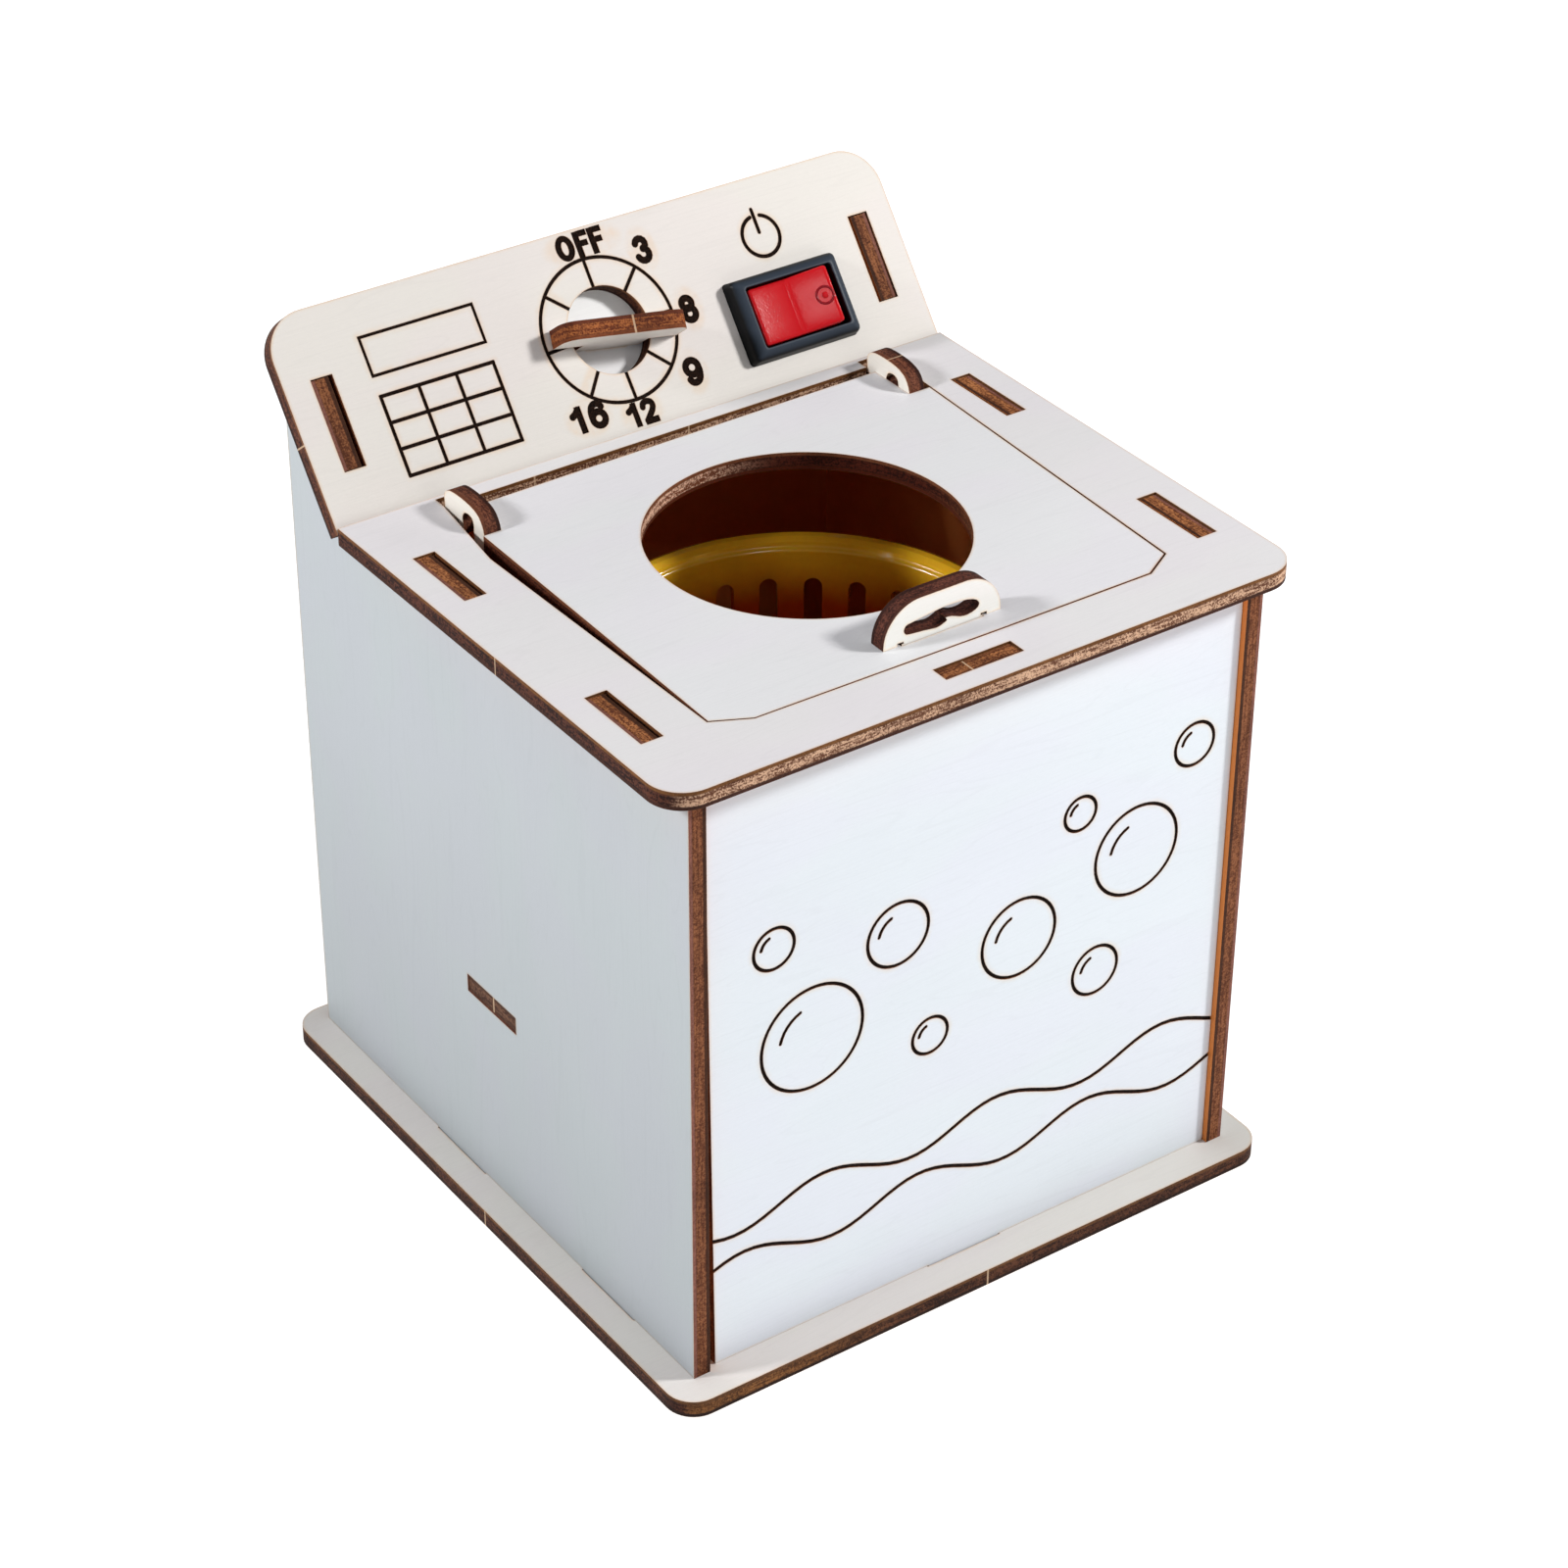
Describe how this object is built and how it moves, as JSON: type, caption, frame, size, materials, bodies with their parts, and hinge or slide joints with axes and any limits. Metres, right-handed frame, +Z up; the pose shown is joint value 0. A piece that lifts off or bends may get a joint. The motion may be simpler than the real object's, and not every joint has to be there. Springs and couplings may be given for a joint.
{
  "type": "toy washing machine",
  "caption": "Plywood top-loading toy washing machine: hinged lid with a round window, leaning control panel with dial and rocker switch, and a motor-driven slotted drum.",
  "frame": {"origin": "centre of the base plate's footprint, on the surface it stands on", "axes": "+X to the right along the front, +Y to the back, +Z up"},
  "size_m": [0.115, 0.1208, 0.1385],
  "materials": {
    "ply_face": "pale painted birch plywood with burnt edges",
    "ply_warm": "pale birch plywood with burnt edges",
    "ply_raw": "bare birch plywood",
    "steel": "plated",
    "brass": "plain",
    "switch_black": "moulded",
    "rocker_red": "moulded",
    "drum_yellow": "moulded, slightly see-through",
    "nylon_white": "moulded",
    "magnet": "sintered",
    "battery_black": "moulded",
    "cell_sleeve": "printed sleeve with no lettering",
    "foam": "foam tape",
    "lead_red": "insulated wire",
    "lead_black": "insulated wire"
  },
  "bodies": {
    "cabinet": {"base_plate": "ply_face", "side_panel_left": "ply_face", "side_panel_right": "ply_face", "front_panel": "ply_face", "back_panel": "ply_face", "deck_panel": "ply_face", "control_panel": "ply_warm", "motor_shelf": "ply_raw", "lid_ledge": "ply_raw", "hinge_pins": "steel", "switch_housing": "switch_black", "switch_terminals": "steel", "motor_can": "steel", "motor_end_cap": "nylon_white", "motor_bushing": "brass", "motor_magnets": "magnet", "motor_terminals": "brass", "motor_bracket": "nylon_white", "bracket_screws": "steel", "battery_box": "battery_black", "battery_contacts": "steel", "aa_cells": "cell_sleeve", "mounting_pad": "foam", "lead_battery_switch": "lead_red", "lead_switch_motor": "lead_red", "lead_battery_motor": "lead_black"},
    "lid": {"lid_panel": "ply_face", "lid_handle": "ply_warm", "hinge_hook_left": "ply_warm", "hinge_hook_right": "ply_warm"},
    "dial": {"knob_grip": "ply_warm", "knob_disc": "ply_warm"},
    "rocker": {"switch_rocker": "rocker_red", "switch_contact": "brass"},
    "drum_unit": {"drum": "drum_yellow", "drum_hub": "nylon_white", "hub_screws": "steel", "motor_shaft": "steel", "motor_rotor": "brass"}
  },
  "joints": [
    {"name": "lid_hinge", "type": "hinge", "parent": "cabinet", "child": "lid", "pos_m": [0, 0.0266, 0.1109], "axis": [-1, 0, 0], "range_deg": [0, 95]},
    {"name": "dial_turn", "type": "hinge", "parent": "cabinet", "child": "dial", "pos_m": [-0.0003, 0.04342, 0.1245], "axis": [0, -0.7859, 0.6184], "continuous": true},
    {"name": "rocker_tilt", "type": "hinge", "parent": "cabinet", "child": "rocker", "pos_m": [0.032, 0.04157, 0.11972], "axis": [0, 0.6184, 0.7859], "range_deg": [0, 20]},
    {"name": "drum_spin", "type": "hinge", "parent": "cabinet", "child": "drum_unit", "pos_m": [0, -0.0086, 0.06], "axis": [0, 0, 1], "continuous": true}
  ]
}
